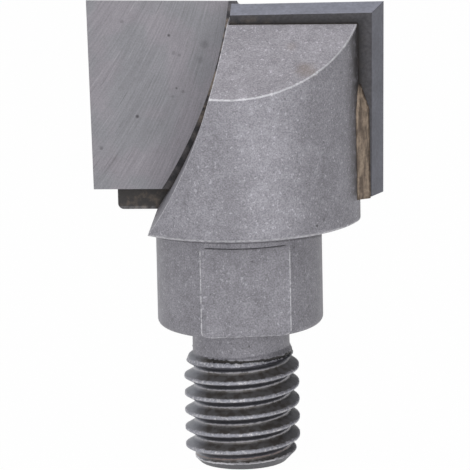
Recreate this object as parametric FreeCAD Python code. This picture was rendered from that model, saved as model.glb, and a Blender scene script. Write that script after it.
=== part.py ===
import FreeCAD
import Part
import math
import os

# Router bit with a threaded shank: a steel body that carries two brazed carbide tips.
# Millimetres. The origin is the centre of the shank's end face, +Z points to the cutting end.
# The bit is the same after half a turn about Z, so each left-hand feature is made once,
# at -X, and turned for its twin at +X.

# Shank for an M10 x 1.5 right-hand thread, plain at the diameter of the thread's crests
thread_diameter = 9.75
thread_length = 8.2
thread_runout_length = 1.8
shank_end_chamfer = 1.18

# Neck between the thread and the collar
neck_diameter = 8.2
neck_length = 2.0

# Collar with two spanner flats
collar_diameter = 13.95
collar_length = 9.1
collar_edge_radius = 0.5
flats_across = 11.76
flats_turn_deg = 8.5
flats_below_head = 1.27
flats_corner_radius = 0.85
flats_corner_margin = 0.15

# Head
head_diameter = 21.5
head_edge_radius = 0.5
head_length = 16.85
facet_slope_deg = 31.3
gullet_wheel_radius = 43.3
gullet_wheel_height = 45.0
gullet_wall_past_centre = 0.12

# Carbide tips
cutting_diameter = 25.0
tip_height = 16.2
tip_thickness = 1.95
tip_rise = 1.5
tip_past_centre = 0.2
rake_offset = 0.75
side_relief_deg = 25.0
top_relief_deg = 17.0
side_taper_deg = 0.9
top_dish_deg = 0.7

# Braze
braze_gap = 0.12
fillet_reach = 0.85
fillet_climb = 0.8
fillet_length = 7.6
fillet_fade = 2.1
fillet_end_scale = 0.2

# Levels and planes that follow from the sizes above
thread_end = thread_length + thread_runout_length
collar_bottom = thread_end + neck_length
head_bottom = collar_bottom + collar_length
head_top = head_bottom + head_length
tips_top = head_top + tip_rise
tips_bottom = tips_top - tip_height
tip_back = rake_offset + tip_thickness
pad_plane = tip_back + braze_gap
head_radius = head_diameter / 2
cutting_radius = cutting_diameter / 2
clear = head_diameter

Z_AXIS = FreeCAD.Vector(0, 0, 1)
ORIGIN = FreeCAD.Vector(0, 0, 0)


def point(x, y, z):
    return FreeCAD.Vector(x, y, z)


def half_turned(shape):
    twin = shape.copy()
    twin.rotate(ORIGIN, Z_AXIS, 180)
    return twin


def box(x0, x1, y0, y1, z0, z1):
    return Part.makeBox(x1 - x0, y1 - y0, z1 - z0, point(x0, y0, z0))


def prism(points, direction):
    outline = Part.makePolygon(points + [points[0]])
    return Part.Face(outline).extrude(direction)


def turned(profile):
    outline = Part.makePolygon(profile + [profile[0]])
    return Part.Face(outline).revolve(ORIGIN, Z_AXIS, 360)


def rounded_rim(shape, radius, height, edge_radius):
    rims = []
    for edge in shape.Edges:
        if isinstance(edge.Curve, Part.Circle) and abs(edge.Curve.Radius - radius) < 1e-6:
            if abs(edge.Curve.Center.z - height) < 1e-6:
                rims.append(edge)
    return shape.makeFillet(edge_radius, rims)


def turned_blank():
    # Shank, neck, collar and head, turned in one
    shank = thread_diameter / 2
    neck = neck_diameter / 2
    collar = collar_diameter / 2
    blank = turned([
        point(0, 0, 0),
        point(shank - shank_end_chamfer, 0, 0),
        point(shank, 0, shank_end_chamfer),
        point(shank, 0, thread_length),
        point(neck, 0, thread_end),
        point(neck, 0, collar_bottom),
        point(collar, 0, collar_bottom),
        point(collar, 0, head_bottom),
        point(head_radius, 0, head_bottom),
        point(head_radius, 0, head_top),
        point(0, 0, head_top),
    ])
    blank = rounded_rim(blank, collar, collar_bottom, collar_edge_radius)
    return rounded_rim(blank, head_radius, head_bottom, head_edge_radius)


def spanner_flat():
    # The cutter's path: as wide as the flat, its two upper corners rounded
    half_chord = math.sqrt((collar_diameter / 2) ** 2 - (flats_across / 2) ** 2)
    half_width = half_chord + flats_corner_margin
    top = head_bottom - flats_below_head
    cut = box(-half_width, half_width, -collar_diameter, -flats_across / 2, collar_bottom - 1, top)
    upper_corners = []
    for edge in cut.Edges:
        ends = [vertex.Point for vertex in edge.Vertexes]
        at_top = all(abs(end.z - top) < 1e-6 for end in ends)
        if at_top and abs(ends[0].y - ends[1].y) > 1e-6:
            upper_corners.append(edge)
    cut = cut.makeFillet(flats_corner_radius, upper_corners)
    cut.rotate(ORIGIN, Z_AXIS, flats_turn_deg)
    return cut


def sloped_facet():
    # Wedge above the slanted top of the front lobe, from the pad outwards
    drop = clear * math.tan(math.radians(facet_slope_deg))
    wedge = prism([
        point(-clear, -pad_plane, head_top),
        point(-clear, -pad_plane - clear, head_top - drop),
        point(-clear, -pad_plane - clear, head_top + clear),
        point(-clear, -pad_plane, head_top + clear),
    ], point(2 * clear, 0, 0))
    return wedge


def wall_depth(height):
    # Where the gullet's ground wall stands at a height: an arc of the wheel's rim
    fall = gullet_wheel_height - height
    sink = gullet_wheel_radius - math.sqrt(gullet_wheel_radius ** 2 - fall ** 2)
    return gullet_wall_past_centre - sink


def gullet():
    # Chip space in front of the left tip, open to the front and the left
    top = head_top + clear
    middle = (head_bottom + gullet_wheel_height) / 2
    low = point(wall_depth(head_bottom), -clear, head_bottom)
    mid = point(wall_depth(middle), -clear, middle)
    high = point(wall_depth(gullet_wheel_height), -clear, gullet_wheel_height)
    wall = Part.Arc(low, mid, high).toShape()
    rest = Part.makePolygon([
        high,
        point(high.x, -clear, top),
        point(-clear, -clear, top),
        point(-clear, -clear, head_bottom),
        low,
    ])
    outline = Part.Wire([wall] + rest.Edges)
    return Part.Face(outline).extrude(point(0, clear + tip_back, 0))


def tip_outline(depth):
    # Outline of the left tip at a depth behind its rake face: the relief draws it in
    y = rake_offset + depth
    taper = math.tan(math.radians(side_taper_deg))
    dish = math.tan(math.radians(top_dish_deg))
    draw_in = depth * math.tan(math.radians(side_relief_deg))
    draw_down = depth * math.tan(math.radians(top_relief_deg))
    corner_in = (draw_in + taper * draw_down) / (1 - taper * dish)
    corner_down = draw_down + dish * corner_in
    inner_down = draw_down + dish * (cutting_radius + tip_past_centre)
    bottom_in = draw_in + taper * tip_height
    corners = [
        point(-cutting_radius + corner_in, y, tips_top - corner_down),
        point(tip_past_centre, y, tips_top - inner_down),
        point(tip_past_centre, y, tips_bottom),
        point(-cutting_radius + bottom_in, y, tips_bottom),
    ]
    return Part.makePolygon(corners + [corners[0]])


def left_tip():
    return Part.makeLoft([tip_outline(0), tip_outline(tip_thickness)], True, True)


def tip_seat():
    # Slot and pad that the left tip is brazed into, one braze gap larger all round
    return box(-clear, tip_past_centre + braze_gap, rake_offset - braze_gap, pad_plane,
               tips_bottom - braze_gap, head_top + clear)


def fillet_outline(height, scale):
    # Triangle between the tip's back and the side of the lobe, shrunk towards the lobe's edge
    edge_x = -math.sqrt(head_radius ** 2 - tip_back ** 2)
    climb_y = tip_back + fillet_climb
    climb_x = -math.sqrt(head_radius ** 2 - climb_y ** 2)
    root_x = climb_x + braze_gap
    corners = []
    for x, y in [(edge_x - fillet_reach, tip_back), (root_x, tip_back), (climb_x, climb_y)]:
        corners.append(point(edge_x + (x - edge_x) * scale, tip_back + (y - tip_back) * scale, height))
    return Part.makePolygon(corners + [corners[0]])


def braze_fillet():
    # Run of braze along the outer seam, which fades out towards the top
    start = tips_bottom - braze_gap
    full = start + fillet_length
    run = Part.Face(fillet_outline(start, 1)).extrude(point(0, 0, fillet_length))
    fade = Part.makeLoft([
        fillet_outline(full, 1),
        fillet_outline(full + fillet_fade, fillet_end_scale),
    ], True, True)
    return run.fuse(fade)


def body_with_gullets():
    blank = turned_blank()
    cuts = []
    for feature in [sloped_facet(), gullet(), spanner_flat()]:
        cuts.append(feature)
        cuts.append(half_turned(feature))
    for cut in cuts:
        blank = blank.cut(cut)
    return blank


def save(name, shape):
    solids = shape.Solids
    kept = solids[0] if len(solids) == 1 else Part.makeCompound(solids)
    if not kept.isValid():
        raise ValueError(name + " is not a valid solid")
    kept.exportStep("parts/" + name + ".step")
    print(name, "solids", len(solids), "volume", round(kept.Volume, 2))


os.makedirs("parts", exist_ok=True)

shaped = body_with_gullets()
seat = tip_seat()
tip = left_tip()
braze = shaped.common(seat).cut(tip).fuse(braze_fillet().cut(shaped)).removeSplitter()
body = shaped.cut(seat).cut(half_turned(seat))

save("cutter_body", body)
save("carbide_tip_left", tip)
save("carbide_tip_right", half_turned(tip))
save("braze_left", braze)
save("braze_right", half_turned(braze))
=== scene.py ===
import math

import bmesh
import bpy
from mathutils import Matrix, Vector


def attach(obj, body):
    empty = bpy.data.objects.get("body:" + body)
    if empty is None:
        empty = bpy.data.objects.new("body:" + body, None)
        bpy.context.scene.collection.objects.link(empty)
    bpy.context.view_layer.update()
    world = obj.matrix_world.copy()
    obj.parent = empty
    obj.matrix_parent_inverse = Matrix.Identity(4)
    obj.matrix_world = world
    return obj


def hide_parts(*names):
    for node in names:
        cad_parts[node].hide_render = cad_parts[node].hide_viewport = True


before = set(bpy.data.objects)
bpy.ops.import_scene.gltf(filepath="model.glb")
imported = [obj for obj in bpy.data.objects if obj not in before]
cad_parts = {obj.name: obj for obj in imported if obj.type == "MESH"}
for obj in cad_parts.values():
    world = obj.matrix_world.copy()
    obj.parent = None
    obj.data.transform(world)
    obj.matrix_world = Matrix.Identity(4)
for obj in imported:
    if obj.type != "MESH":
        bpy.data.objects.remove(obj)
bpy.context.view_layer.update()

MM = 0.001

# Points this close together are one, and points this close to a level lie on it
TOUCHING = 0.001 * MM
SAME_LEVEL = 0.01 * MM

# Camera, in the bit's frame: where it stands in millimetres and how it is turned in degrees
CAMERA_PLACE = (30.69, -438.93, 118.9)
CAMERA_YAW = 4.043
CAMERA_PITCH = 12.739
CAMERA_ROLL = -1.176
CAMERA_LENS = 410.66
SENSOR_WIDTH = 36.0

# Threaded shank, millimetres: M10 x 1.5, right-hand
THREAD_PITCH = 1.5
CREST_RADIUS = 4.875
THREAD_DEPTH = 0.812
CREST_HALF_WIDTH = THREAD_PITCH / 16
CREST_ROUNDING = 0.04
ROOT_ROUNDING = 0.18
FLANK_SLOPE = math.sqrt(3)
CREST_PHASE = 0.613
GROOVE_TOP = 9.5
NOTCH_DEPTH = 0.10
END_RADIUS = 3.695
END_CHAMFER = CREST_RADIUS - END_RADIUS
NECK_RADIUS = 4.1
RUNOUT_START = 8.2
RUNOUT_END = 10.0
RUNOUT_SLOPE = (CREST_RADIUS - NECK_RADIUS) / (RUNOUT_END - RUNOUT_START)
SHANK_TOP = 10.3
BODY_CUT = 10.5
ROWS_PER_PITCH = 16
ROWS_BELOW_CREST = 26
THREAD_ROWS = 132
THREAD_SEGMENTS = 144

# Collar with its flats, and the foot and the middle of the head
COLLAR_RADIUS = 6.975
FLAT_DISTANCE = 5.88
FLAT_TOP = 19.83
HEAD_BOTTOM = 21.1
HEAD_MIDDLE = 26.0

# The lobes and their slanted tops
LOBE_RADIUS = 10.75
LOBE_TOP = 37.95
LOBE_PAD = 2.82
LOBE_SLOPE = math.tan(math.radians(31.3))

# Left tip: its planes, a point inside it, and how its rake face was ground
TIPS_BOTTOM = 23.25
RAKE_PLANE = 0.75
TIP_BACK = 2.7
TIP_MIDDLE = (-5.0, 1.25, 31.0)
GROUND_CENTRE = (-38.58, 44.28)
GROUND_RADIUS = 38.37
GROUND_STEP = 0.06
GROUND_STEPS = 28
GROUND_TRIES = 20
FEED_CENTRE = -60.4
FEED_RADIUS = 60.0

# How far the lobe reaches beside the tip's back, and where the run of braze ends
SEAM_REACH = math.sqrt(LOBE_RADIUS ** 2 - TIP_BACK ** 2)
SEAM_TOP = 32.4

# The run of braze: how lumpy it is, outside which x, and how long its mesh's edges may be
SEAM_LUMP = 0.05
LUMPS_OUTSIDE = -10.3
LONGEST_EDGE = 0.35

# How wide worn edges are, on the steel and on the carbide
EDGE_WEAR = 0.09
CARBIDE_WEAR = 0.035

# How far the painted shadow under an overhang reaches down, for each millimetre of the overhang
OVERHANG_SHADOW = 0.225

# Bare steel, what lies on it, and painted shade, shadow and highlight
STEEL = (0.297, 0.289, 0.317)
TOP_STEEL = (0.380, 0.362, 0.392)
WEAR_AND_HIGHLIGHT = (0.88, 0.87, 0.90, 1)
BRIGHT_RIM = (0.82, 0.81, 0.84, 1)
SOOT = (0.055, 0.048, 0.045, 1)
CREVICE_SHADE = (0.03, 0.027, 0.024, 1)
LEDGE_SHADOW = (0.05, 0.048, 0.056, 1)
PAD_DARK = (0.055, 0.050, 0.047, 1)
PAD_BROWN = (0.15, 0.12, 0.095, 1)

# The thread's flanks, roots, crests and end, with painted shade, shadow, highlights and reflection
FLANK_BROWN = (0.095, 0.084, 0.074, 1)
FLANK_GREY = (0.17, 0.163, 0.163, 1)
FLANK_UNDER_SHADE = (0.060, 0.060, 0.072, 1)
FLANK_SIDE_REFLECTION = (0.34, 0.35, 0.39, 1)
ROOT_RUST = (0.25, 0.20, 0.19, 1)
ROOT_HIGHLIGHT = (0.38, 0.37, 0.39, 1)
CREST_GREY = (0.44, 0.45, 0.50, 1)
CREST_HIGHLIGHT = (0.78, 0.77, 0.79, 1)
END_SHADE = (0.12, 0.12, 0.13, 1)
END_RIDGE = (0.75, 0.74, 0.77, 1)
GROOVE_SHADOW = (0.016, 0.014, 0.012, 1)

# Carbide and braze, with painted shade in the seam and in the gap above the braze
GROUND_WARM = (0.302, 0.287, 0.312, 1)
GROUND_COOL = (0.295, 0.293, 0.314, 1)
PIT = (0.05, 0.045, 0.05, 1)
DULL_PATCH = (0.12, 0.11, 0.11, 1)
RELIEF = (0.375, 0.381, 0.447)
RAW_CARBIDE = (0.058, 0.056, 0.061)
FLUX_BROWN = (0.20, 0.165, 0.135)
SEAM_SHADE = (0.018, 0.015, 0.014, 1)
BRAZE_DARK = (0.145, 0.11, 0.085)
BRAZE_PALE = (0.34, 0.265, 0.20)
BRAZE_GAP_SHADE = (0.03, 0.026, 0.024, 1)

# Pits in the rake face: x, z, radius and how dark each is
PITS = (
    (-8.4, 29.5, 0.13, 0.75), (-5.6, 36.4, 0.10, 0.75), (-5.05, 31.9, 0.08, 0.65),
    (-9.5, 37.6, 0.14, 0.30), (-11.5, 26.8, 0.14, 0.40), (-5.25, 34.9, 0.15, 0.25),
    (-4.75, 34.7, 0.12, 0.30), (-2.6, 35.6, 0.32, 0.26), (-3.0, 34.3, 0.26, 0.20),
    (-4.5, 31.6, 0.12, 0.30), (-5.4, 31.2, 0.10, 0.30),
)

# Marks on the steel: x, y, z, radius, how dark and which colour
BROWN = (0.24, 0.18, 0.13, 1)
BLACK = (0.03, 0.027, 0.025, 1)
MARKS = (
    (6.3, -7.6, 35.0, 0.9, 0.45, BROWN), (5.0, -5.2, 36.5, 0.5, 0.25, BROWN),
    (7.04, -8.13, 21.99, 0.13, 0.8, BLACK), (0.95, -3.99, 10.75, 0.09, 0.7, BLACK),
)

# Studio: the floor's half width in metres, how white it looks, and where the lamps aim
FLOOR_HALF = 3.0
FLOOR_GLOW = 0.985
ROOM_BRIGHT = 0.62
ROOM_DIM = 0.02
MIDDLE = (0, 0, 22)


class Tree:
    # Short names for the nodes that the materials and the thread share
    def __init__(self, tree):
        self.tree = tree

    def add(self, kind, inputs=(), **settings):
        node = self.tree.nodes.new(kind)
        for name, value in settings.items():
            setattr(node, name, value)
        for key, value in (inputs.items() if isinstance(inputs, dict) else enumerate(inputs)):
            if isinstance(value, bpy.types.NodeSocket):
                self.tree.links.new(value, node.inputs[key])
            elif value is not None:
                node.inputs[key].default_value = value
        return node

    def math(self, operation, a, b=0.0, c=0.0):
        return self.add("ShaderNodeMath", (a, b, c), operation=operation).outputs[0]

    def times(self, first, *others):
        for other in others:
            first = self.math("MULTIPLY", first, other)
        return first

    def plus(self, a, b):
        return self.math("ADD", a, b)

    def minus(self, a, b):
        return self.math("SUBTRACT", a, b)

    def line(self, value, slope, start):
        return self.math("MULTIPLY_ADD", value, slope, start)

    def unsigned(self, value):
        return self.math("ABSOLUTE", value)

    def without(self, share):
        # What a share leaves over
        return self.math("SUBTRACT", 1.0, share)

    def vector(self, operation, a, b):
        return self.add("ShaderNodeVectorMath", {0: a, 1: b}, operation=operation).outputs[0]

    def noise(self, place, scale, detail=2.0):
        inputs = {"Vector": place, "Scale": scale, "Detail": detail}
        return self.add("ShaderNodeTexNoise", inputs).outputs[0]

    def join(self, x, y, z):
        return self.add("ShaderNodeCombineXYZ", (x, y, z)).outputs[0]

    def rise(self, value, low, high, at_low=0.0, at_high=1.0):
        return self.add("ShaderNodeMapRange", {
            "Value": value, "From Min": low, "From Max": high, "To Min": at_low, "To Max": at_high,
        }, interpolation_type="SMOOTHSTEP").outputs[0]


class Look(Tree):
    # A metal whose pattern is laid out in the bit's own millimetres
    def __init__(self, name, metallic, turned=False):
        self.material = bpy.data.materials.new(name)
        self.material.use_nodes = True
        super().__init__(self.material.node_tree)
        self.surface = self.tree.nodes["Principled BSDF"]
        self.surface.inputs["Metallic"].default_value = metallic
        place = self.add("ShaderNodeTexCoord").outputs["Object"]
        scale = (-1000, -1000, 1000) if turned else (1000, 1000, 1000)
        self.place = self.vector("MULTIPLY", place, scale)
        self.x, self.y, self.z = self.add("ShaderNodeSeparateXYZ", (self.place,)).outputs
        square = self.plus(self.times(self.x, self.x), self.times(self.y, self.y))
        self.radius = self.math("SQRT", square)

    def blend(self, share, a, b):
        node = self.add("ShaderNodeMix", {0: share, 6: a, 7: b}, data_type="RGBA")
        return node.outputs[2]

    def shade(self, colour, value):
        # The colour times a value
        return self.add("ShaderNodeVectorMath", {0: colour, 3: value}, operation="SCALE").outputs[0]

    def between(self, value, low, high, soft):
        return self.times(self.rise(value, low - soft, low + soft),
                          self.without(self.rise(value, high - soft, high + soft)))

    def distance(self, place, spot):
        return self.add("ShaderNodeVectorMath", (place, spot), operation="DISTANCE").outputs[1]

    def facing(self):
        # How much the surface faces each axis
        normal = self.add("ShaderNodeNewGeometry").outputs["Normal"]
        return self.add("ShaderNodeSeparateXYZ", (normal,)).outputs

    def crevice(self, reach):
        node = self.add("ShaderNodeAmbientOcclusion", {"Distance": reach * MM}, samples=8)
        return node.outputs["AO"]

    def finish(self, colour, roughness, height, depth, strength):
        for name, value in (("Base Color", colour), ("Roughness", roughness)):
            if isinstance(value, bpy.types.NodeSocket):
                self.tree.links.new(value, self.surface.inputs[name])
            else:
                self.surface.inputs[name].default_value = value
        bump = self.add("ShaderNodeBump", {"Strength": strength, "Distance": depth * MM, "Height": height})
        self.tree.links.new(bump.outputs[0], self.surface.inputs["Normal"])
        return self.material


class BlastedSteel(Look):
    # Grain, specks and mottling, with the stains and wear that lie on them, and painted shade, shadows,
    # highlights and reflection
    def __init__(self, name):
        super().__init__(name, 0.5)
        self.grain = self.noise(self.place, 8.0, 2.0)
        self.patches = self.noise(self.place, 1.7, 3.0)
        self.smear = self.noise(self.place, 1.6, 5.0)
        self.rag = self.times(self.minus(self.noise(self.place, 3.0, 3.0), 0.5), 0.22)
        self.along = self.unsigned(self.y)
        _, self.ahead, up = self.facing()
        self.top = self.times(self.rise(up, 0.6, 0.8), self.rise(self.z, HEAD_MIDDLE - 1.0, HEAD_MIDDLE))
        low = self.rise(self.z, TIPS_BOTTOM - 0.05, TIPS_BOTTOM + 0.25)
        self.below_tips = self.without(low)
        self.lay_out_thread()

    def bare(self):
        # The metal itself: the slanted lobe tops are cleaner and warmer than the rest
        mottle = self.noise(self.place, 0.5, 4.0)
        speck = self.rise(self.noise(self.place, 4.2, 1.0), 0.64, 0.72)
        dark_speck = self.rise(self.noise(self.place, 3.1, 1.0), 0.70, 0.75)
        value = self.times(self.rise(self.grain, 0.3, 0.7, 0.78, 1.24),
                           self.rise(mottle, 0.3, 0.7, 0.92, 1.08))
        value = self.times(value, self.rise(self.patches, 0.3, 0.7, 0.93, 1.07))
        value = self.minus(self.plus(value, self.times(speck, 0.5)), self.times(dark_speck, 0.25))
        # Painted shade makes the collar and shank a little darker than the head, and a painted highlight
        # makes the front lobe paler in its middle
        value = self.times(value, self.rise(self.z, HEAD_BOTTOM - 2.1, HEAD_BOTTOM + 1.9, 0.96, 1.06))
        middle = self.times(self.between(self.x, 1.5, 6.0, 2.0), self.rise(self.y, -8.0, -7.0, 1.0, 0.0))
        middle = self.times(middle, self.without(self.top))
        value = self.times(value, self.line(middle, 0.17, 1.0))
        return self.blend(self.times(self.top, 0.8), self.shade(STEEL, value), self.shade(TOP_STEEL, value))

    def stain_pads(self, colour):
        # Brown stain on the pads that the tips' lower ends stand over
        pad = self.times(self.between(self.along, LOBE_PAD - 0.27, LOBE_PAD + 0.13, 0.05), self.below_tips)
        pad = self.times(pad, self.rise(self.z, HEAD_BOTTOM - 0.2, HEAD_BOTTOM))
        pad = self.times(pad, self.rise(self.unsigned(self.ahead), 0.2, 0.6))
        stain = self.blend(self.rise(self.smear, 0.45, 0.75), PAD_DARK, PAD_BROWN)
        return self.blend(self.times(pad, 0.95), colour, stain)

    def soot_seams(self, colour):
        # Soot from the brazing, on the lobes' sides along the outer seams
        soot = self.without(self.rise(self.along, LOBE_PAD + 0.03, LOBE_PAD + 2.78))
        soot = self.times(soot, self.rise(self.radius, LOBE_RADIUS - 0.85, LOBE_RADIUS - 0.35))
        ragged = self.plus(self.z, self.smear)
        soot = self.times(soot, self.rise(ragged, TIPS_BOTTOM + 0.35, TIPS_BOTTOM + 0.95),
                          self.without(self.top))
        soot = self.times(soot, self.rise(self.smear, 0.30, 0.55, 0.45, 0.9))
        return self.blend(soot, colour, SOOT)

    def small_marks(self, colour):
        # Faint brown stains on the front top, and two small dark marks
        for x, y, z, size, dark, tone in MARKS:
            far = self.plus(self.distance(self.place, (x, y, z)), self.times(self.smear, size))
            mark = self.without(self.rise(far, size * 0.7, size * 1.9))
            colour = self.blend(self.times(mark, dark), colour, tone)
        return colour

    def painted_crevice_shade(self, colour):
        # Painted shade in crevices: darker where ambient occlusion finds the surface closed in
        closed = self.without(self.rise(self.crevice(1.0), 0.35, 0.85))
        return self.blend(self.times(closed, 0.6), colour, CREVICE_SHADE)

    def lay_out_thread(self):
        # How far a point is from the nearest crest, and where the thread and its end's cone are
        lead = self.math("DIVIDE", self.math("ARCTAN2", self.y, self.x), math.tau)
        share = self.minus(self.math("DIVIDE", self.minus(self.z, CREST_PHASE), THREAD_PITCH), lead)
        nearest = self.math("ROUND", share)
        self.below_crest = self.minus(nearest, share)
        self.off = self.plus(self.times(self.unsigned(self.minus(share, nearest)), THREAD_PITCH), self.rag)
        self.thread = self.times(self.without(self.rise(self.z, GROOVE_TOP, GROOVE_TOP + 0.08)),
                                 self.rise(self.z, 0.04, 0.18))
        self.level = self.plus(self.z, END_RADIUS)
        self.cone = self.rise(self.minus(self.radius, self.level), -0.10, -0.03)
        self.flank = self.times(self.thread, self.rise(self.off, 0.15, 0.20), self.without(self.cone))

    def flanks(self, colour):
        # Brown and grey above a crest, painted shade below it, and a painted reflection that makes them
        # paler where the flanks turn to the sides
        dull = self.blend(self.rise(self.patches, 0.35, 0.65), FLANK_BROWN, FLANK_GREY)
        dull = self.blend(self.rise(self.below_crest, -0.02, 0.02), dull, FLANK_UNDER_SHADE)
        side = self.math("MAXIMUM", self.times(self.x, -1.0), self.times(self.x, 0.76))
        side = self.rise(self.math("DIVIDE", side, self.radius), 0.60, 0.95, 0.0, 0.75)
        dull = self.blend(side, dull, FLANK_SIDE_REFLECTION)
        return self.blend(self.times(self.flank, 0.95), colour, dull)

    def shank_end(self, colour):
        # The end's cone is darkened with painted shade, with a worn ridge where the last groove leaves it
        cone = self.times(self.cone, self.rise(self.z, END_CHAMFER - 0.08, END_CHAMFER + 0.02, 0.75, 0.0))
        colour = self.blend(cone, colour, END_SHADE)
        groove = self.line(self.minus(CREST_HALF_WIDTH, self.off), FLANK_SLOPE, CREST_RADIUS)
        groove = self.math("MAXIMUM", groove, CREST_RADIUS - THREAD_DEPTH)
        gap = self.unsigned(self.minus(groove, self.plus(self.level, self.rag)))
        ridge = self.times(self.without(self.rise(gap, 0.13, 0.24)), self.rise(self.off, 0.12, 0.2))
        ridge = self.times(ridge, self.rise(self.z, END_CHAMFER - 0.03, END_CHAMFER + 0.07, 1.0, 0.0))
        return self.blend(self.times(ridge, 0.85), colour, END_RIDGE)

    def roots_and_crests(self, colour):
        # A painted highlight line in the rounded root, rusty in the last groove instead, and ragged crests
        # of worn metal with a painted highlight speckled on them
        cut_off = self.rise(self.z, RUNOUT_START + 0.4, RUNOUT_START + 0.6)
        root = self.times(self.rise(self.off, 0.68, 0.72), self.minus(self.thread, cut_off))
        tone = self.blend(self.rise(self.z, END_CHAMFER + 0.02, END_CHAMFER + 0.32), ROOT_RUST, ROOT_HIGHLIGHT)
        colour = self.blend(self.times(self.math("MAXIMUM", root, 0.0), 0.9), colour, tone)
        crest = self.times(self.thread, self.without(self.rise(self.off, 0.10, 0.18)),
                           self.without(self.cone))
        crest = self.times(crest, self.rise(self.noise(self.place, 5.2, 3.0), 0.42, 0.62, 0.45, 0.95))
        bright = self.rise(self.noise(self.place, 3.4, 2.0), 0.50, 0.60)
        return self.blend(self.times(crest, 0.85), colour, self.blend(bright, CREST_GREY, CREST_HIGHLIGHT))

    def neck_groove(self, colour):
        # Painted shadow: the dark ragged line where the last groove ends at the neck
        groove = self.between(self.line(self.rag, 1.5, self.z), GROOVE_TOP - 0.17, GROOVE_TOP + 0.08, 0.02)
        on_neck = self.without(self.rise(self.radius, NECK_RADIUS + 0.35, NECK_RADIUS + 0.50))
        groove = self.times(groove, on_neck, self.rise(self.x, -3.6, -2.0, 0.2, 1.0))
        return self.blend(self.times(groove, 0.95), colour, GROOVE_SHADOW)

    def drop_below(self, overhang, level):
        # How far a point is below the painted shadow that an overhang at a level casts
        return self.minus(self.line(overhang, -OVERHANG_SHADOW, level), self.line(self.rag, 0.5, self.z))

    def painted_overhang_shadows(self, colour):
        # Painted shadow under the flats' upper ledges and under the head
        corner = self.minus(COLLAR_RADIUS ** 2 + FLAT_DISTANCE ** 2, self.times(self.radius, self.radius))
        drop = self.drop_below(self.minus(self.math("SQRT", corner), FLAT_DISTANCE), FLAT_TOP)
        inside = self.without(self.rise(self.radius, COLLAR_RADIUS - 0.225, COLLAR_RADIUS - 0.055))
        ledge = self.times(self.between(drop, -0.6, 0.10, 0.03), inside)
        square = self.times(self.x, self.x)
        collar = self.math("SQRT", self.math("MAXIMUM", self.minus(COLLAR_RADIUS ** 2, square), 0.0))
        overhang = self.minus(self.math("SQRT", self.minus(LOBE_RADIUS ** 2, square)), collar)
        drop = self.drop_below(overhang, HEAD_BOTTOM)
        on_collar = self.between(self.radius, COLLAR_RADIUS - 0.055, COLLAR_RADIUS + 0.125, 0.03)
        under_head = self.times(self.between(drop, -2.0, 0.02, 0.06), on_collar)
        share = self.math("MAXIMUM", self.times(ledge, 0.85), self.times(under_head, 0.5))
        return self.blend(share, colour, LEDGE_SHADOW)

    def wear(self, colour, edge):
        # Worn edges, the bright rims of the slanted tops, and a painted highlight on the rim at the foot of
        # the head
        rough = self.noise(self.place, 3.2, 4.0)
        plane = self.line(self.minus(LOBE_PAD, self.along), LOBE_SLOPE, LOBE_TOP)
        away = self.plus(self.minus(LOBE_RADIUS, self.radius), self.minus(plane, self.z))
        away = self.plus(self.unsigned(away), self.times(self.minus(rough, 0.5), 0.60))
        brim = self.times(self.without(self.rise(away, 0.02, 0.11)),
                          self.rise(self.z, HEAD_MIDDLE - 0.5, HEAD_MIDDLE + 0.5),
                          self.rise(self.along, LOBE_PAD + 0.08, LOBE_PAD + 0.48))
        broken = self.rise(self.noise(self.place, 2.3, 2.0), 0.44, 0.56, 0.2, 0.8)
        colour = self.blend(self.times(brim, broken), colour, BRIGHT_RIM)
        ragged = self.rise(rough, 0.30, 0.62)
        if edge:
            worn = self.times(ragged, edge)
        else:
            # Painted highlight: a ragged light line along the rim at the foot of the head
            foot = self.times(self.between(self.z, HEAD_BOTTOM - 0.05, HEAD_BOTTOM + 0.26, 0.06),
                              self.rise(self.radius, COLLAR_RADIUS + 0.625, COLLAR_RADIUS + 1.025))
            worn = self.times(foot, ragged, 0.45)
        near_pad = self.times(self.between(self.along, LOBE_PAD - 0.52, LOBE_PAD + 0.18, 0.05),
                              self.below_tips)
        flat_top = self.between(self.z, FLAT_TOP - 0.28, FLAT_TOP + 0.22, 0.05)
        kept = self.without(self.math("MAXIMUM", self.times(near_pad, 0.7), flat_top))
        return self.blend(self.times(worn, kept), colour, WEAR_AND_HIGHLIGHT)


def blasted_steel(name, edge=0.0):
    look = BlastedSteel(name)
    colour = look.bare()
    for layer in (look.stain_pads, look.soot_seams, look.small_marks, look.painted_crevice_shade, look.flanks,
                  look.shank_end, look.roots_and_crests, look.neck_groove, look.painted_overhang_shadows):
        colour = layer(colour)
    colour = look.wear(colour, edge)
    roughness = look.minus(look.rise(look.grain, 0.2, 0.8, 0.42, 0.62), look.times(look.flank, 0.14))
    height = look.plus(look.grain, look.times(look.patches, 0.6))
    return look.finish(colour, roughness, height, depth=0.035, strength=0.55)


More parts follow.
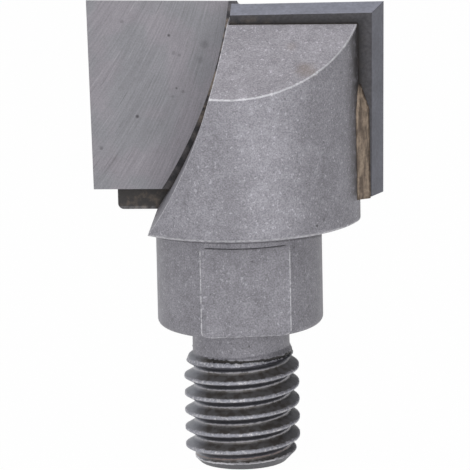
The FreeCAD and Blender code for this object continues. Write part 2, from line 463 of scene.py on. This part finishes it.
def ground_carbide(name, turned):
    # Scratches left by the rim of the grinding wheel, and small pits
    look = Look(name, 0.8, turned)
    reach = look.minus(look.x, FEED_CENTRE)
    chord = look.minus(FEED_RADIUS ** 2, look.times(reach, reach))
    feed = look.plus(look.z, look.math("SQRT", look.math("MAXIMUM", chord, 0.0)))

    def scratches(across, length, layer, detail):
        place = look.join(look.times(feed, across), look.times(look.z, length), layer)
        return look.noise(place, 1.0, detail)

    fine = scratches(3.4, 0.25, 0.0, 4.0)
    broad = scratches(0.9, 0.10, 7.0, 2.0)
    single = scratches(2.6, 0.30, 3.0, 1.0)
    cloud = look.noise(look.place, 0.30, 3.0)
    value = look.times(look.rise(fine, 0.25, 0.75, 0.90, 1.10), look.rise(broad, 0.3, 0.7, 0.97, 1.03))
    value = look.times(value, look.rise(cloud, 0.35, 0.65, 1.03, 0.96))
    value = look.times(value, look.rise(look.noise(look.place, 9.0, 2.0), 0.3, 0.7, 0.93, 1.07))
    value = look.plus(value, look.times(look.rise(single, 0.66, 0.74), 0.16))
    value = look.minus(value, look.times(look.rise(single, 0.34, 0.27), 0.16))
    tint = look.blend(look.rise(cloud, 0.40, 0.60), GROUND_WARM, GROUND_COOL)
    colour = look.shade(tint, value)
    flat_place = look.vector("MULTIPLY", look.place, (1.0, 0.0, 1.0))
    for x, z, size, dark in PITS:
        pit = look.without(look.rise(look.distance(flat_place, (x, 0.0, z)), size * 0.4, size * 1.7))
        colour = look.blend(look.times(pit, dark), colour, PIT)
    dull = look.rise(look.noise(look.place, 1.3, 3.0), 0.55, 0.8)
    colour = look.blend(look.times(dull, 0.15), colour, DULL_PATCH)
    return look.finish(colour, 0.42, fine, depth=0.02, strength=0.35)


def relief_carbide(name, turned):
    # The side was ground coarser than the top, and it is painted darker than the top as painted shade
    look = Look(name, 0.8, turned)
    grain = look.noise(look.place, 4.0, 3.0)
    cloud = look.noise(look.place, 0.6, 3.0)
    value = look.times(look.rise(grain, 0.25, 0.75, 0.88, 1.12), look.rise(cloud, 0.3, 0.7, 0.92, 1.08))
    # Painted shade: faces that do not look up are darker
    value = look.times(value, look.rise(look.facing()[2], 0.4, 0.6, 0.40, 1.0))
    colour = look.shade(RELIEF, value)
    return look.finish(colour, 0.45, grain, depth=0.01, strength=0.3)


def dark_carbide(name, turned):
    # Never ground: the dark strip beside the ground area and the tip's back
    look = Look(name, 0.6, turned)
    grain = look.noise(look.place, 5.0, 3.0)
    smear = look.noise(look.place, 1.1, 4.0)
    back = look.rise(look.y, RAKE_PLANE + 0.25, RAKE_PLANE + 1.25)
    beyond = look.math("MAXIMUM", look.minus(-SEAM_REACH, look.x), look.minus(look.z, LOBE_TOP))
    strip = look.times(look.rise(look.z, 29.0, 38.0, 0.95, 2.2), look.rise(smear, 0.35, 0.65, 0.65, 1.35))
    share = look.plus(look.times(back, look.rise(beyond, 0.0, 1.0, 0.70, 1.35)),
                      look.times(look.without(back), strip))
    value = look.times(look.rise(grain, 0.25, 0.75, 0.8, 1.2), share)
    colour = look.shade(RAW_CARBIDE, value)
    # Flux left near the lobe, and painted shade in the seam
    near = look.without(look.rise(look.crevice(1.2), 0.60, 0.98))
    inwards = look.rise(look.x, -3.9, -2.6, 0.15, 0.9)
    brown = look.times(look.rise(smear, 0.40, 0.60), near, inwards)
    colour = look.blend(brown, colour, look.shade(FLUX_BROWN, value))
    seam = look.without(look.rise(look.crevice(0.5), 0.60, 0.95))
    strength = look.rise(look.y, RAKE_PLANE + 0.25, RAKE_PLANE + 1.25, 0.4, 0.9)
    colour = look.blend(look.times(seam, strength), colour, SEAM_SHADE)
    return look.finish(colour, 0.5, grain, depth=0.02, strength=0.4)


def brown_braze(name, turned):
    # Streaks that run up the seam, and painted shade in the narrow gap above the run of braze
    look = Look(name, 0.45, turned)
    grain = look.noise(look.place, 4.5, 3.0)
    streak = look.noise(look.vector("MULTIPLY", look.place, (3.0, 3.0, 0.7)), 1.0, 4.0)
    value = look.rise(grain, 0.25, 0.75, 0.8, 1.2)
    dark, pale = look.shade(BRAZE_DARK, value), look.shade(BRAZE_PALE, value)
    colour = look.blend(look.rise(streak, 0.35, 0.65), dark, pale)
    colour = look.blend(look.rise(look.z, SEAM_TOP, SEAM_TOP + 0.6, 0.0, 0.9), colour, BRAZE_GAP_SHADE)
    return look.finish(colour, 0.5, grain, depth=0.03, strength=0.5)


def thread_inputs(tree):
    # The thread's sizes, as named inputs of its tree
    face = tree.interface
    sizes = (("Pitch", THREAD_PITCH), ("Crest radius", CREST_RADIUS), ("Depth", THREAD_DEPTH),
             ("Crest half width", CREST_HALF_WIDTH), ("Phase", CREST_PHASE), ("Top", SHANK_TOP),
             ("Raggedness", 0.09))
    for name, value in sizes:
        socket = face.new_socket(name, in_out="INPUT", socket_type="NodeSocketFloat")
        socket.default_value = value
    face.new_socket("Material", in_out="INPUT", socket_type="NodeSocketMaterial")
    face.new_socket("Geometry", in_out="OUTPUT", socket_type="NodeSocketGeometry")


def thread_radius(build, level, turn, lead, sizes):
    # The shank's radius at a level and a turn: thread, chamfered end, run-out and neck
    pitch, crest, depth, half, phase, ragged = sizes
    share = build.math("DIVIDE", build.minus(build.minus(level, phase), lead), pitch)
    off = build.times(build.unsigned(build.minus(share, build.math("ROUND", share))), pitch)
    flank = build.times(build.minus(off, half), FLANK_SLOPE)
    cut = build.math("SMOOTH_MIN", flank, depth, ROOT_ROUNDING)
    cut = build.math("MAXIMUM", build.math("SMOOTH_MAX", cut, 0.0, CREST_ROUNDING), 0.0)
    place = build.join(build.math("COSINE", turn), build.math("SINE", turn), build.times(level, 0.3))
    wear = build.times(build.minus(build.noise(place, 9.0, 4.0), 0.35), ragged)
    radius = build.minus(build.minus(crest, cut), build.math("MAXIMUM", wear, 0.0))
    end_cone = build.plus(level, END_RADIUS)
    run_cone = build.line(build.minus(RUNOUT_END, level), RUNOUT_SLOPE, NECK_RADIUS)
    run_cone = build.math("MAXIMUM", run_cone, NECK_RADIUS)
    radius = build.math("MINIMUM", build.math("MINIMUM", radius, end_cone), run_cone)
    plain = build.times(build.rise(level, GROOVE_TOP - 0.06, GROOVE_TOP + 0.02), NECK_RADIUS)
    notch = build.times(build.rise(level, GROOVE_TOP - 0.24, GROOVE_TOP - 0.16),
                        build.without(build.rise(level, GROOVE_TOP - 0.04, GROOVE_TOP + 0.02)))
    return build.minus(build.math("MAXIMUM", radius, plain), build.times(notch, NOTCH_DEPTH))


def thread_tree():
    # A grid sheared along the helix; each row keeps its place in the thread's profile
    tree = bpy.data.node_groups.new("threaded shank", "GeometryNodeTree")
    thread_inputs(tree)
    build = Tree(tree)
    inputs = build.add("NodeGroupInput").outputs
    pitch, crest, depth, half, phase, top, ragged, material = inputs[:8]
    length = build.times(pitch, THREAD_ROWS / ROWS_PER_PITCH)
    grid_size = (length, math.tau, THREAD_ROWS + 1, THREAD_SEGMENTS + 1)
    grid = build.add("GeometryNodeMeshGrid", grid_size).outputs[0]
    position = build.add("GeometryNodeInputPosition").outputs[0]
    along, around, _ = build.add("ShaderNodeSeparateXYZ", (position,)).outputs
    turn = build.plus(around, math.pi)
    start = build.minus(phase, build.times(pitch, ROWS_BELOW_CREST / ROWS_PER_PITCH))
    row = build.plus(build.plus(along, build.times(length, 0.5)), start)
    lead = build.times(pitch, build.math("DIVIDE", turn, math.tau))
    level = build.math("MINIMUM", build.math("MAXIMUM", build.plus(row, lead), 0.0), top)
    radius = thread_radius(build, level, turn, lead, (pitch, crest, depth, half, phase, ragged))
    across = build.times(radius, build.math("COSINE", turn))
    deep = build.times(radius, build.math("SINE", turn))
    point = build.join(across, deep, level)
    point = build.add("ShaderNodeVectorMath", {0: point, 3: MM}, operation="SCALE").outputs[0]
    moved = build.add("GeometryNodeSetPosition", {"Geometry": grid, "Position": point}).outputs[0]
    sewn = build.add("GeometryNodeMergeByDistance", {"Geometry": moved, "Distance": TOUCHING}).outputs[0]
    real = build.add("GeometryNodeRealizeInstances", {"Geometry": sewn}).outputs[0]
    named = build.add("GeometryNodeSetMaterial", {"Geometry": real, "Material": material}).outputs[0]
    build.add("NodeGroupOutput", {"Geometry": named})
    return tree


def new_holder(mesh):
    # A throwaway object that carries a mesh through its modifiers
    holder = bpy.data.objects.new("holder", mesh)
    bpy.context.scene.collection.objects.link(holder)
    return holder


def settled(holder):
    # The mesh that a holder's modifiers make, without the holder
    bpy.context.view_layer.update()
    graph = bpy.context.evaluated_depsgraph_get()
    final = holder.evaluated_get(graph)
    mesh = bpy.data.meshes.new_from_object(final, preserve_all_data_layers=True, depsgraph=graph)
    bpy.data.objects.remove(holder)
    return mesh


def made_by(tree, inputs):
    # The mesh that a geometry tree makes
    holder = new_holder(bpy.data.meshes.new("holder"))
    modifier = holder.modifiers.new("tree", "NODES")
    modifier.node_group = tree
    for socket in tree.interface.items_tree:
        if socket.in_out == "INPUT" and socket.name in inputs:
            modifier[socket.identifier] = inputs[socket.name]
    return settled(holder)


def mesh_from(bm, name, materials):
    mesh = bpy.data.meshes.new(name)
    for material in materials:
        mesh.materials.append(material)
    bm.to_mesh(mesh)
    bm.free()
    return mesh


def shaded(bm, name, sharp, materials):
    # Smooth shading that keeps flat faces flat
    mesh = mesh_from(bm, name, materials)
    for face in mesh.polygons:
        face.use_smooth = True
    mesh.set_sharp_from_angle(angle=math.radians(sharp))
    holder = new_holder(mesh)
    weigh = holder.modifiers.new("weigh", "WEIGHTED_NORMAL")
    weigh.keep_sharp = True
    kept = settled(holder)
    kept.name = name
    return kept


def merged(node):
    # The CAD node's surface as one skin
    bm = bmesh.new()
    bm.from_mesh(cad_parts[node].data)
    bmesh.ops.remove_doubles(bm, verts=bm.verts, dist=TOUCHING)
    return bm


def whole_faces(bm):
    bmesh.ops.dissolve_limit(bm, angle_limit=math.radians(0.6), verts=bm.verts, edges=bm.edges)


def convex_edges(bm, least):
    found = []
    for edge in bm.edges:
        if len(edge.link_faces) == 2 and edge.is_convex and edge.calc_face_angle() > math.radians(least):
            found.append(edge)
    return found


def rim(bm, level):
    # The open loop at a level, in order round the axis
    found = set()
    for edge in bm.edges:
        at_level = all(abs(v.co.z - level * MM) < SAME_LEVEL for v in edge.verts)
        if at_level and len(edge.link_faces) == 1:
            found.update(edge.verts)
    return sorted(found, key=lambda v: math.atan2(v.co.y, v.co.x))


def turned_angle(ring, i):
    # The angle of a loop's point, counted on past a full turn
    place = ring[i % len(ring)].co
    return math.atan2(place.y, place.x) + math.tau * (i // len(ring))


def sew(bm, low, high):
    # A band of triangles between two loops with different numbers of points
    i = j = 0
    while i < len(low) or j < len(high):
        low_next = i < len(low) and turned_angle(low, i + 1) <= turned_angle(high, j + 1)
        if j == len(high) or low_next:
            corners = (low[i % len(low)], low[(i + 1) % len(low)], high[j % len(high)])
            i += 1
        else:
            corners = (low[i % len(low)], high[(j + 1) % len(high)], high[j % len(high)])
            j += 1
        bm.faces.new(corners).smooth = True


def as_piece(name, mesh, node, materials):
    for i, material in enumerate(materials):
        mesh.materials[i] = material
    piece = bpy.data.objects.new(name, mesh)
    bpy.context.scene.collection.objects.link(piece)
    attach(piece, "root")
    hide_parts(node)
    return piece


def cut_body(bm):
    # The body above the shank
    geom = bm.verts[:] + bm.edges[:] + bm.faces[:]
    bmesh.ops.bisect_plane(bm, geom=geom, dist=1e-8, plane_co=(0, 0, BODY_CUT * MM), plane_no=(0, 0, 1),
                           clear_inner=True)
    whole_faces(bm)
    bmesh.ops.recalc_face_normals(bm, faces=bm.faces)


def worn_body(bm, materials):
    # The body with its edges worn: widest along the slanted lobe tops
    weight = bm.edges.layers.float.new("bevel_weight_edge")
    for edge in convex_edges(bm, 22):
        slanted = any(0.75 < face.normal.z < 0.95 for face in edge.link_faces)
        edge[weight] = 1.0 if slanted else 0.5
    holder = new_holder(mesh_from(bm, "worn", materials))
    bevel = holder.modifiers.new("bevel", "BEVEL")
    bevel.limit_method = "WEIGHT"
    bevel.width = EDGE_WEAR * MM
    bevel.segments = 2
    bevel.use_clamp_overlap = False
    bevel.material = 1
    worn = bmesh.new()
    worn.from_mesh(settled(holder))
    return worn


def add_shank(bm, material):
    # The threaded shank, sewn to the body and closed at its end
    shank = made_by(thread_tree(), {"Material": material})
    for face in shank.polygons:
        face.material_index = 0
    bm.from_mesh(shank)
    bpy.data.meshes.remove(shank)
    sew(bm, rim(bm, SHANK_TOP), rim(bm, BODY_CUT))
    bm.faces.new(list(reversed(rim(bm, 0.0))))
    bmesh.ops.recalc_face_normals(bm, faces=bm.faces)


def body_mesh(materials):
    bm = merged("cutter_body")
    cut_body(bm)
    bm = worn_body(bm, materials)
    add_shank(bm, materials[0])
    return shaded(bm, "body", 40, materials)


def tip_corners():
    # The left tip's corners in millimetres, by inner end, back face and upper half
    bm = merged("carbide_tip_left")
    whole_faces(bm)
    corners = {}
    for v in bm.verts:
        place = tuple(c / MM for c in v.co)
        corners[tuple(c > middle for c, middle in zip(place, TIP_MIDDLE))] = place
    bm.free()
    return corners


def lifted(corners, upper):
    # An inner corner on the raised strip, along the relief that meets it
    near, back = corners[(True, False, upper)], corners[(True, True, upper)]
    share = -GROUND_STEP / (back[1] - near[1])
    return tuple(n + (b - n) * share for n, b in zip(near, back))


def ground_edge(z):
    # Where the rim of the grinding wheel stood at a height
    return GROUND_CENTRE[0] + math.sqrt(GROUND_RADIUS ** 2 - (z - GROUND_CENTRE[1]) ** 2)


def ground_levels(top_left, top_right, bottom):
    # Heights along the ground area's edge, from where it crosses the tip's top edge
    x = top_right[0]
    for _ in range(GROUND_TRIES):
        z = top_left[2] + (top_right[2] - top_left[2]) * (x - top_left[0]) / (top_right[0] - top_left[0])
        x = ground_edge(z)
    return [z + (bottom - z) * i / GROUND_STEPS for i in range(GROUND_STEPS + 1)]


def tip_mesh(materials):
    # The left tip: the ground part of its rake face lies one step lower than the strip beside the gullet
    corners = tip_corners()
    outer_top, outer_low = corners[(False, False, True)], corners[(False, False, False)]
    inner_top = corners[(True, False, True)]
    levels = ground_levels(outer_top, inner_top, outer_low[2])
    strip_top, strip_low = lifted(corners, True), lifted(corners, False)
    ground = [(ground_edge(level), RAKE_PLANE, level) for level in levels]
    raised = [(x, y - GROUND_STEP, level) for x, y, level in ground]
    x, y, level = raised[0]
    raised[0] = (x, y, level + strip_top[2] - inner_top[2])
    bm = bmesh.new()

    def vert(place):
        return bm.verts.new(tuple(c * MM for c in place))

    def face(ring, material):
        bm.faces.new(ring).material_index = material

    g = [vert(place) for place in ground]
    r = [vert(place) for place in raised]
    tl, bl = vert(outer_top), vert(outer_low)
    tr, br = vert(strip_top), vert(strip_low)
    tlb, trb = vert(corners[(False, True, True)]), vert(corners[(True, True, True)])
    blb, brb = vert(corners[(False, True, False)]), vert(corners[(True, True, False)])
    # Materials: 0 ground, 1 relieved, 2 never ground
    face([tl] + g + [bl], 0)
    face(r + [br, tr], 2)
    for i in range(GROUND_STEPS):
        face([g[i], g[i + 1], r[i + 1], r[i]], 2)
    face([tl, tlb, trb, tr, r[0], g[0]], 1)
    face([bl, g[-1], r[-1], br, brb, blb], 1)
    face([tl, bl, blb, tlb], 1)
    face([tr, trb, brb, br], 2)
    face([tlb, blb, brb, trb], 2)
    bmesh.ops.recalc_face_normals(bm, faces=bm.faces)
    bmesh.ops.bevel(bm, geom=convex_edges(bm, 25), offset=CARBIDE_WEAR * MM, offset_type="OFFSET",
                    segments=2, profile=0.5, affect="EDGES", clamp_overlap=True, material=-1)
    return shaded(bm, "tip", 40, materials)


def lump(x, y, z):
    # How the run of braze rises and falls
    return (0.5 * math.sin(2.1 * z + 3 * math.sin(0.7 * z)) + 0.3 * math.sin(5.3 * z + 4 * y)
            + 0.2 * math.sin(11 * z - 6 * x))


def braze_mesh(materials):
    # The left seam's filler; where it shows beside the lobe its surface is lumpy
    bm = merged("braze_left")
    whole_faces(bm)
    bmesh.ops.triangulate(bm, faces=bm.faces)
    for _ in range(3):
        long_edges = [e for e in bm.edges if e.calc_length() > LONGEST_EDGE * MM]
        bmesh.ops.subdivide_edges(bm, edges=long_edges, cuts=1)
        bmesh.ops.triangulate(bm, faces=bm.faces)
    bmesh.ops.recalc_face_normals(bm, faces=bm.faces)
    bm.normal_update()
    for v in bm.verts:
        x, y, z = (c / MM for c in v.co)
        if x < LUMPS_OUTSIDE and y > TIP_BACK + 0.05:
            v.co += v.normal * SEAM_LUMP * lump(x, y, z) * MM
    return shaded(bm, "braze", 50, materials)


def half_turned(mesh):
    twin = mesh.copy()
    twin.transform(Matrix.Rotation(math.pi, 4, "Z"))
    return twin


def side_looks(side, turned):
    # One side's carbide and braze
    carbide = [ground_carbide("ground carbide " + side, turned),
               relief_carbide("relieved carbide " + side, turned),
               dark_carbide("dark carbide " + side, turned)]
    return carbide, [brown_braze("brown braze " + side, turned)]


def make_pieces():
    steel = [blasted_steel("blasted steel"), blasted_steel("worn edge", 0.6)]
    as_piece("body", body_mesh(steel), "cutter_body", steel)
    left_carbide, left_filler = side_looks("left", False)
    right_carbide, right_filler = side_looks("right", True)
    tip, braze = tip_mesh(left_carbide), braze_mesh(left_filler)
    right_tip, right_braze = half_turned(tip), half_turned(braze)
    as_piece("tip_left", tip, "carbide_tip_left", left_carbide)
    as_piece("seam_left", braze, "braze_left", left_filler)
    as_piece("tip_right", right_tip, "carbide_tip_right", right_carbide)
    as_piece("seam_right", right_braze, "braze_right", right_filler)


def make_camera():
    yaw, pitch, roll = (math.radians(a) for a in (CAMERA_YAW, CAMERA_PITCH, CAMERA_ROLL))
    up = Vector((0, 0, 1))
    ahead = Vector((-math.sin(yaw), math.cos(yaw), 0))
    across = Vector((math.cos(yaw), math.sin(yaw), 0))
    look = math.cos(pitch) * ahead - math.sin(pitch) * up
    above = math.cos(pitch) * up + math.sin(pitch) * ahead
    right = math.cos(roll) * across + math.sin(roll) * above
    top = math.cos(roll) * above - math.sin(roll) * across
    data = bpy.data.cameras.new("camera")
    data.lens = CAMERA_LENS
    data.sensor_width = SENSOR_WIDTH
    data.clip_start = 0.01
    data.clip_end = 10.0
    camera = bpy.data.objects.new("camera", data)
    bpy.context.scene.collection.objects.link(camera)
    turn = Matrix((right, top, -look)).transposed().to_4x4()
    camera.matrix_world = Matrix.Translation(Vector(CAMERA_PLACE) * MM) @ turn
    bpy.context.scene.camera = camera


def white_floor():
    # White to the camera, with a trace of the shadow, and a plain pale floor to the light
    material = bpy.data.materials.new("white floor")
    material.use_nodes = True
    material.node_tree.nodes.clear()
    look = Tree(material.node_tree)
    path = look.add("ShaderNodeLightPath").outputs
    seen = look.math("MAXIMUM", path["Is Camera Ray"], path["Is Glossy Ray"])
    seen = look.times(look.math("MAXIMUM", seen, path["Is Transmission Ray"]), FLOOR_GLOW)
    diffuse = look.add("ShaderNodeBsdfDiffuse", {"Color": (0.8, 0.8, 0.8, 1)}).outputs[0]
    glow = look.add("ShaderNodeEmission").outputs[0]
    mixed = look.add("ShaderNodeMixShader", (seen, diffuse, glow)).outputs[0]
    look.add("ShaderNodeOutputMaterial", {"Surface": mixed})
    return material


def make_floor():
    mesh = bpy.data.meshes.new("floor")
    corners = [(-1, -1, 0), (1, -1, 0), (1, 1, 0), (-1, 1, 0)]
    places = [(x * FLOOR_HALF, y * FLOOR_HALF, z) for x, y, z in corners]
    mesh.from_pydata(places, [], [(0, 1, 2, 3)])
    floor = bpy.data.objects.new("floor", mesh)
    bpy.context.scene.collection.objects.link(floor)
    mesh.materials.append(white_floor())


def make_light(name, place, width, height, power):
    data = bpy.data.lights.new(name, "AREA")
    data.shape = "RECTANGLE"
    data.size = width * MM
    data.size_y = height * MM
    data.energy = power
    light = bpy.data.objects.new(name, data)
    bpy.context.scene.collection.objects.link(light)
    place = Vector(place) * MM
    ahead = Vector(MIDDLE) * MM - place
    light.matrix_world = Matrix.Translation(place) @ ahead.to_track_quat("-Z", "Y").to_matrix().to_4x4()


def make_world(bright, dim):
    # A white room, dimmer on the right and behind it
    world = bpy.data.worlds.new("studio")
    bpy.context.scene.world = world
    world.use_nodes = True
    look = Tree(world.node_tree)
    ahead = look.add("ShaderNodeTexCoord").outputs["Generated"]
    towards = (0.94, 0.34, 0.0)
    side = look.add("ShaderNodeVectorMath", (ahead, towards), operation="DOT_PRODUCT").outputs[1]
    strength = look.rise(side, 0.0, 0.9, bright, dim)
    back = world.node_tree.nodes["Background"]
    back.inputs["Color"].default_value = (0.97, 0.98, 1.0, 1)
    world.node_tree.links.new(strength, back.inputs["Strength"])


make_pieces()
make_camera()
make_floor()
make_world(ROOM_BRIGHT, ROOM_DIM)
make_light("key", (-40, -420, 240), 260, 260, 0.42)
make_light("low front", (150, -480, 60), 120, 90, 0.13)
make_light("right", (320, -380, 120), 200, 200, 0.14)
make_light("top", (0, -60, 420), 300, 300, 0.26)

bpy.context.scene.view_settings.view_transform = "Standard"
